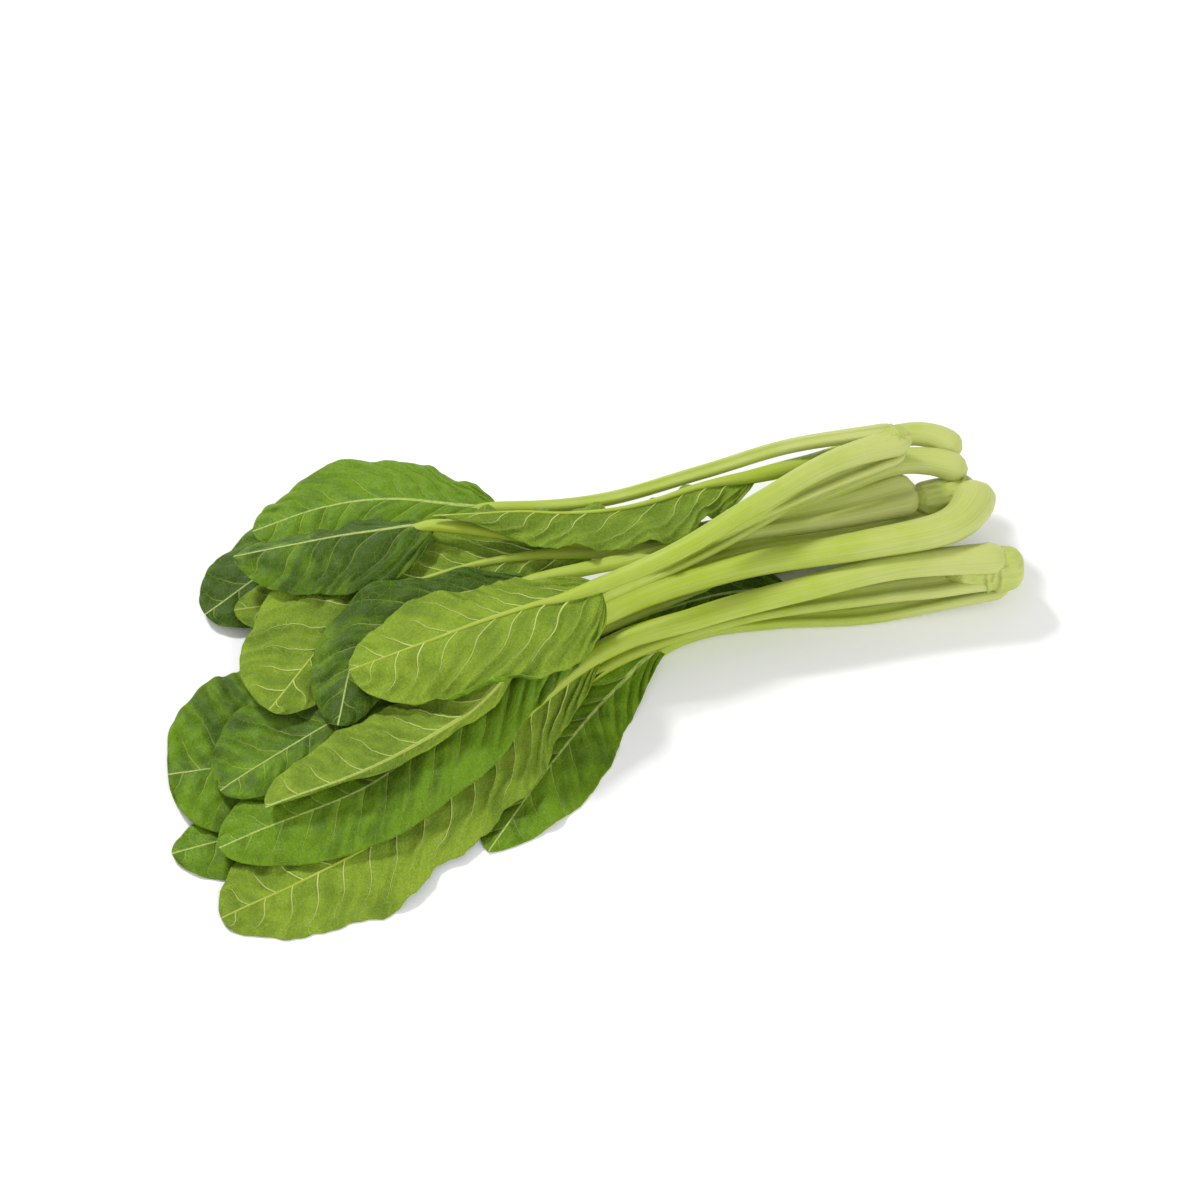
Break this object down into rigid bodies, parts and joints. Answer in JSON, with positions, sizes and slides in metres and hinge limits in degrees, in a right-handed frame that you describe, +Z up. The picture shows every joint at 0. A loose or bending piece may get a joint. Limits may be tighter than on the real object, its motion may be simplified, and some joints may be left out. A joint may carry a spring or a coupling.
{
  "type": "yu choy bunch",
  "caption": "Loose bunch of leafy greens lying flat: pale cut stems and stalks on one side, broad green leaves piled on the other.",
  "frame": {"origin": "middle of the footprint, on the surface the bunch lies on", "axes": "+X from the leaf tips to the cut stem ends, +Y to the far side, +Z up"},
  "size_m": [0.3615, 0.2015, 0.0556],
  "materials": {
    "stem": "satin",
    "stalk": "satin",
    "blade": "matte"
  },
  "bodies": {
    "root": {"front_stem": "stem", "middle_stem": "stem", "top_stem": "stem", "front_stalk_1": "stalk", "front_stalk_2": "stalk", "front_stalk_3": "stalk", "front_stalk_4": "stalk", "middle_stalk_1": "stalk", "middle_stalk_2": "stalk", "middle_stalk_3": "stalk", "middle_stalk_4": "stalk", "middle_stalk_5": "stalk", "middle_stalk_6": "stalk", "middle_stalk_7": "stalk", "middle_stalk_8": "stalk", "top_stalk_1": "stalk", "top_stalk_2": "stalk", "top_stalk_3": "stalk", "top_stalk_4": "stalk", "front_blade_1": "blade", "front_blade_2": "blade", "front_blade_3": "blade", "front_blade_4": "blade", "middle_blade_1": "blade", "middle_blade_2": "blade", "middle_blade_3": "blade", "middle_blade_4": "blade", "middle_blade_5": "blade", "middle_blade_6": "blade", "middle_blade_7": "blade", "middle_blade_8": "blade", "top_blade_1": "blade", "top_blade_2": "blade", "top_blade_3": "blade", "top_blade_4": "blade"}
  },
  "joints": []
}
